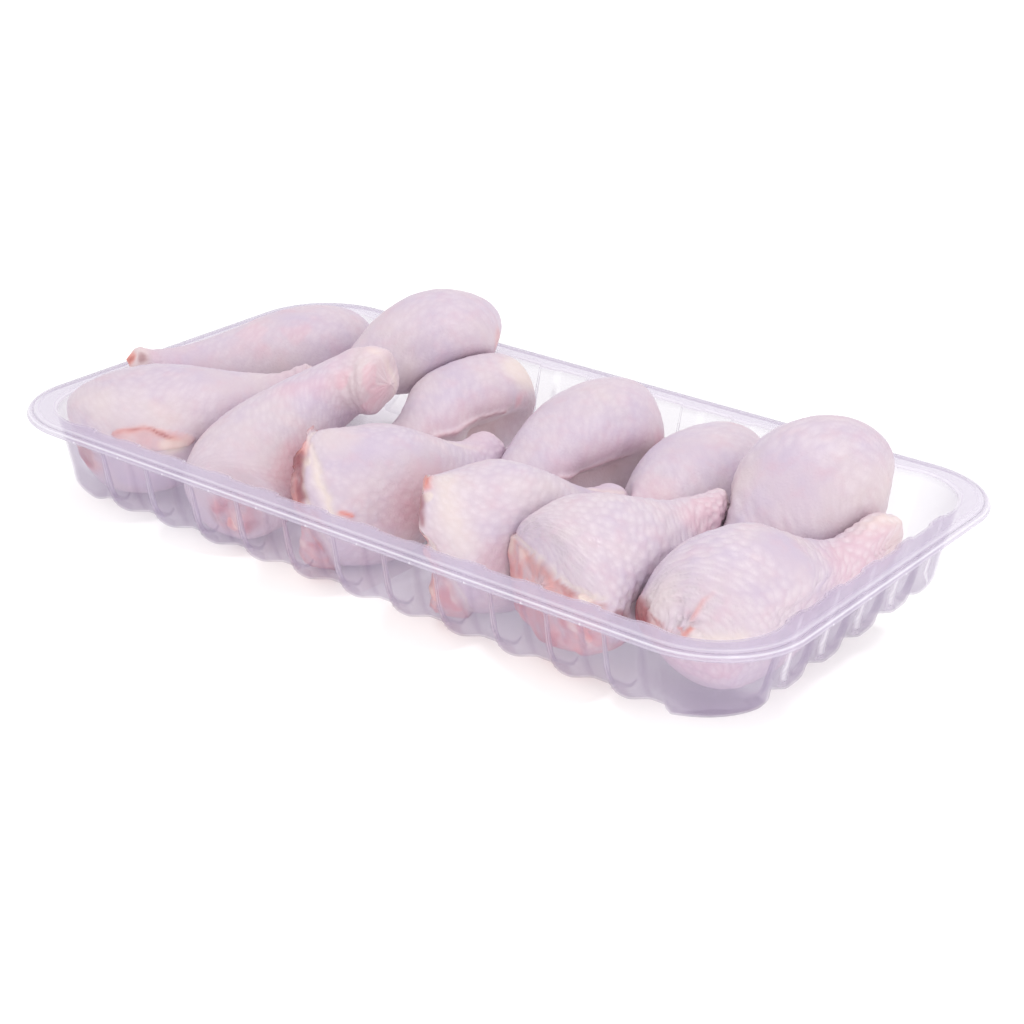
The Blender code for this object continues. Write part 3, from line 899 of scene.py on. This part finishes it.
def plastic_material():
    """Clear plastic sheet with a lilac tint, paler and thicker to the eye when seen edge on, with
    painted highlight lines and painted shade lines on it.
    """
    nodes = Nodes("clear_sheet")
    shader = nodes.shader
    edge = nodes.put("LayerWeight", {"Blend": 0.3}).outputs["Facing"]
    shade = nodes.blend(nodes.mask("haze"), (0.38, 0.31, 0.45, 1.0), (0.52, 0.45, 0.58, 1.0))
    shade = nodes.blend(nodes.span(edge, 0.55, 0.9), shade, (0.74, 0.69, 0.83, 1.0))
    # Painted shade: dark violet where the line mask marks the shaded lines of the moulding
    shade = nodes.blend(nodes.mask("line"), shade, (0.20, 0.13, 0.24, 1.0))
    # Painted highlight: near white where the mask marks the bright edge lines
    shade = nodes.blend(nodes.mask("painted_highlight"), shade, (0.97, 0.95, 1.0, 1.0))
    nodes.feed(shader.inputs["Base Color"], shade)
    shader.inputs["Roughness"].default_value = 0.1
    shader.inputs["IOR"].default_value = 1.5
    shader.inputs["Specular IOR Level"].default_value = 0.35
    solid = nodes.plus(nodes.span(edge, 0.0, 1.0, 0.14, 0.45), nodes.times(nodes.mask("haze"), 0.17))
    # The painted highlight also makes the sheet more opaque
    solid = nodes.plus(solid, nodes.times(nodes.mask("painted_highlight"), 0.5))
    # The painted shade lines also make the sheet more opaque
    nodes.feed(shader.inputs["Alpha"], nodes.plus(solid, nodes.times(nodes.mask("line"), 0.35)))
    return nodes.material


def side_places(straight, pillars, pitch):
    """Where the points of a straight side are: closest together at the pillars' edges."""
    width = pitch * PILLAR_SHARE
    far = width + 2.2
    steps = [(-1.0, 1.2, 6), (1.2, width - 2.2, 11), (width - 2.2, far, 6), (far, pitch - 1.0, 5)]
    pattern = np.concatenate([np.linspace(low, high, count, endpoint=False) for low, high,
                              count in steps])
    starts = (np.arange(-1, pillars + 1) - (pillars - 1) / 2) * pitch - width / 2
    places = (starts[:, None] + pattern[None, :]).ravel()
    return places[np.abs(places) < straight]


def pillar_share(place, pillars, pitch, narrow=0.0):
    """0 in the recess between two pillars and 1 on a pillar's face, along a straight side."""
    width = pitch * PILLAR_SHARE
    last = ((pillars - 1) * pitch + width) / 2
    local = (place + last) % pitch
    left = (local - narrow) / (1.6 + narrow)
    right = (width - narrow - local) / (3.5 + narrow)
    share = smooth(np.minimum(left, right) + 0.5)
    beyond = np.abs(place) - last - (pitch - width)
    return np.where(np.abs(place) > last + 0.5 * (pitch - width), smooth(beyond / 2.0 + 0.5), share)


def narrowing(height):
    """How much each side of a pillar draws in towards its rounded foot."""
    return FOOT_ROUND * np.clip(1 - height / FOOT_RISE, 0, 1) ** 2


def tray_ring(inset, corner, height, recess, rounding=0.0):
    """One closed ring of the tray: recesses pressed in by a depth, corners drawn in."""
    ring = []
    for turn in range(4):
        long_side = turn % 2 == 0
        length = TRAY_LENGTH if long_side else TRAY_WIDTH
        across = TRAY_WIDTH if long_side else TRAY_LENGTH
        pillars = LONG_PILLARS if long_side else SHORT_PILLARS
        pitch = LONG_PITCH if long_side else SHORT_PITCH
        straight = length / 2 - SIDE_END
        places = side_places(straight, pillars, pitch)
        depth = recess * (1 - pillar_share(places, pillars, pitch, narrowing(height)))
        line = np.stack([places, -(across / 2 - inset - depth)], axis=1)
        turns = np.radians(90 * (np.arange(CORNER_SEGMENTS) + 0.5) / CORNER_SEGMENTS)
        depth = recess * (1 - pillar_share(length / 2 - inset - corner + corner * turns, pillars, pitch))
        other_pitch = SHORT_PITCH if long_side else LONG_PITCH
        other_pillars = SHORT_PILLARS if long_side else LONG_PILLARS
        back = across / 2 - inset - corner + corner * turns[::-1]
        depth = depth + recess * (1 - pillar_share(back, other_pillars, other_pitch))
        reach = corner - depth - rounding * np.sin(2 * turns)
        bend = np.stack(
            [
                length / 2 - inset - corner + reach * np.sin(turns),
                -(across / 2 - inset - corner) - reach * np.cos(turns),
            ],
            axis=1,
        )
        local = np.concatenate([line, bend])
        heading = math.radians(90 * turn)
        c, s = math.cos(heading), math.sin(heading)
        ring.append(np.stack([c * local[:, 0] - s * local[:, 1], s * local[:, 0] + c * local[:, 1]],
                             axis=1))
    flat = np.concatenate(ring)
    return np.concatenate([flat, np.full((len(flat), 1), height)], axis=1)


def ring_places():
    """Where each point of a tray ring is across its pillar: -1 to 1 on it, and 9 in a corner."""
    found = []
    for turn in range(4):
        long_side = turn % 2 == 0
        length = TRAY_LENGTH if long_side else TRAY_WIDTH
        pillars = LONG_PILLARS if long_side else SHORT_PILLARS
        pitch = LONG_PITCH if long_side else SHORT_PITCH
        width = pitch * PILLAR_SHARE
        straight = length / 2 - SIDE_END
        places = side_places(straight, pillars, pitch)
        local = (places + ((pillars - 1) * pitch + width) / 2) % pitch
        found.append(2 * local / width - 1)
        found.append(np.full(CORNER_SEGMENTS, 9.0))
    return np.concatenate(found)


def tray():
    """The clear tray: a stepped lip, a flat flange, ribbed walls and a flat floor."""
    top = TRAY_HEIGHT - SHEET
    rings = []
    for inset, drop in LIP:
        rings.append(tray_ring(inset, OUTER_CORNER - inset, top - drop, 0.0))
    for inset in (4.0, 5.5, 7.5, 9.5, 11.0, 11.8):
        share = (inset - 3.7) / (FLANGE_WIDTH - 3.7)
        corner = OUTER_CORNER - 3.7 + (FLANGE_CORNER - OUTER_CORNER + 3.7) * share
        height = top - 0.4 * smooth((inset - 10.5) / 1.5)
        rings.append(tray_ring(inset, corner, height, RECESS_TOP * smooth(share)))
    for step in np.concatenate([np.linspace(0, 0.66, 9), np.linspace(0.7, 1, 12)]):
        height = top - 1.0 - (top - 1.0 - FLOOR_FILLET) * step
        inset = FLANGE_WIDTH + 0.2 + (WALL_INSET - 0.2) * step
        corner = FLANGE_CORNER + (WALL_CORNER - FLANGE_CORNER) * step
        rings.append(tray_ring(inset, corner, height, RECESS_TOP + (RECESS_BOTTOM - RECESS_TOP) * step))
    for turn in np.linspace(0, math.pi / 2, 9)[1:]:
        share = 1 - math.cos(turn)
        inset = FLANGE_WIDTH + WALL_INSET + FLOOR_FILLET * share
        height = FLOOR_FILLET * (1 - math.sin(turn))
        corner = WALL_CORNER - 7 * share
        bump = RECESS_BOTTOM + (RECESS_FOOT - RECESS_BOTTOM) * math.sin(2 * turn)
        bump += (RECESS_FLOOR - RECESS_BOTTOM) * share
        rings.append(tray_ring(inset, corner, height, bump, 6.0 * share))
    rings.append(tray_ring(FLOOR_EDGE, FLOOR_CORNER, 0.0, 0.0, 6.0))
    foot = rings[-1]
    for share in (0.8, 0.5, 0.2, 0.01):
        inner = foot.copy()
        inner[:, :2] *= share
        rings.append(inner)
    points = np.stack(rings)[:, ::-1]
    height = points[..., 2]
    across = ring_places()[::-1][None, :]
    # Painted shade in the line mask: dark arcs round each pillar's foot, a dark line down each pillar's
    # right edge and a faint band on the lip's upright face
    bowl = 8.5 + 7.0 * np.abs(across) ** 3
    line = 0.65 * np.exp(-(((height - bowl) / 0.7) ** 2)) * (np.abs(across) < 0.85) * (height > 4)
    side = np.exp(-(((across - 1.08) / 0.12) ** 2))
    line += 0.35 * side * smooth((TRAY_HEIGHT - 6 - height) / 6) * smooth((height - 1) / 3)
    number = np.arange(len(points))[:, None] + 0 * height
    line += 0.08 * ((number > 4.5) & (number < 7.5))
    # The line mask also darkens the floor in a patch at the near corner
    corner = np.hypot((points[..., 0] - 158) / 17, (points[..., 1] + 68) / 13)
    line += 0.8 * smooth(1.6 - corner) * (height < 4)
    # Painted highlight: white lines on the lip's rounded edges, along the flange's inner edge and down
    # the left edge of each pillar
    painted_highlight = 0.7 * (number == 3) + 0.3 * (number == 1) + 0.35 * (number == 8) + 0.5 * (number == 13)
    edge = (across + 1) * 8 - narrowing(height)
    painted_highlight = painted_highlight + 0.8 * np.exp(-((edge / 0.42) ** 2)) * (height < TRAY_HEIGHT
                                                           - 2) * smooth((height - 1) / 3)
    haze = smooth((15 - number) / 2)
    masks = {"line": np.clip(line, 0, 1), "painted_highlight": np.clip(painted_highlight, 0, 1), "haze": haze}
    item = grid_mesh("tray_clear_sheet", points, masks)
    skin = item.modifiers.new("Sheet", "SOLIDIFY")
    skin.thickness = SHEET * MM
    skin.offset = 1.0
    item.data.materials.append(plastic_material())
    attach(item, "root")
    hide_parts("tray")
    # A clear sheet passes nearly all the light, so it neither shades nor tints the meat
    item.visible_shadow = False
    item.visible_diffuse = False
    return item


def camera():
    """A camera at the photograph's viewing angle, with a slight roll."""
    data = bpy.data.cameras.new("camera")
    data.lens = 76.54
    data.sensor_width = 36.0
    data.clip_start = 0.05
    place = Vector((0.5055, -0.6664, 0.3801))
    aim = Vector((0.0477, -0.0489, 0.0390))
    roll = math.radians(1.59)
    ahead = (aim - place).normalized()
    right = ahead.cross(Vector((0, 0, 1))).normalized()
    up = right.cross(ahead)
    x_axis = math.cos(roll) * right + math.sin(roll) * up
    y_axis = -math.sin(roll) * right + math.cos(roll) * up
    item = bpy.data.objects.new("camera", data)
    item.matrix_world = Matrix(
        [(*row, where) for row, where in zip(zip(x_axis, y_axis, -ahead), place)] + [(0, 0, 0, 1)]
    )
    bpy.context.scene.collection.objects.link(item)
    bpy.context.scene.camera = item


def light(name, place, aim, size, power, colour):
    """A soft area light that points at a place."""
    data = bpy.data.lights.new(name, "AREA")
    data.shape = "RECTANGLE"
    data.size = size
    data.size_y = size
    data.energy = power
    data.color = colour
    item = bpy.data.objects.new(name, data)
    item.location = place
    item.rotation_euler = (Vector(aim) - Vector(place)).to_track_quat("-Z", "Y").to_euler()
    bpy.context.scene.collection.objects.link(item)


def studio():
    """A plain pale floor and soft light from all round, a little stronger from above."""
    mesh = bpy.data.meshes.new("floor")
    mesh.from_pydata([(-8, -8, 0), (8, -8, 0), (8, 8, 0), (-8, 8, 0)], [], [(0, 1, 2, 3)])
    floor = bpy.data.objects.new("floor", mesh)
    bpy.context.scene.collection.objects.link(floor)
    nodes = Nodes("floor")
    nodes.shader.inputs["Base Color"].default_value = (0.93, 0.93, 0.93, 1)
    nodes.shader.inputs["Roughness"].default_value = 0.9
    nodes.shader.inputs["Emission Color"].default_value = (1, 1, 1, 1)
    nodes.shader.inputs["Emission Strength"].default_value = 0.14
    floor.data.materials.append(nodes.material)
    world = bpy.data.worlds.new("soft_light")
    bpy.context.scene.world = world
    world.use_nodes = True
    world.node_tree.nodes["Background"].inputs["Color"].default_value = (1, 1, 1, 1)
    world.node_tree.nodes["Background"].inputs["Strength"].default_value = 0.96
    light("key", (-0.6, -0.2, 1.3), (0, 0, 0), 0.8, 2.0, (1.0, 0.99, 0.98))
    light("fill", (0.95, -0.6, 0.4), (0, 0, 0.03), 0.7, 2.4, (1.0, 0.99, 0.98))
    light("sparkle", (0.15, 0.25, 1.0), (0.1, 0, 0), 0.12, 1.8, (1.0, 1.0, 1.0))
    view = bpy.context.scene.view_settings
    view.view_transform = "Standard"
    view.exposure = 0.0


camera()
studio()
tray()
for number, piece in enumerate(DRUMSTICKS):
    drumstick(piece, number)
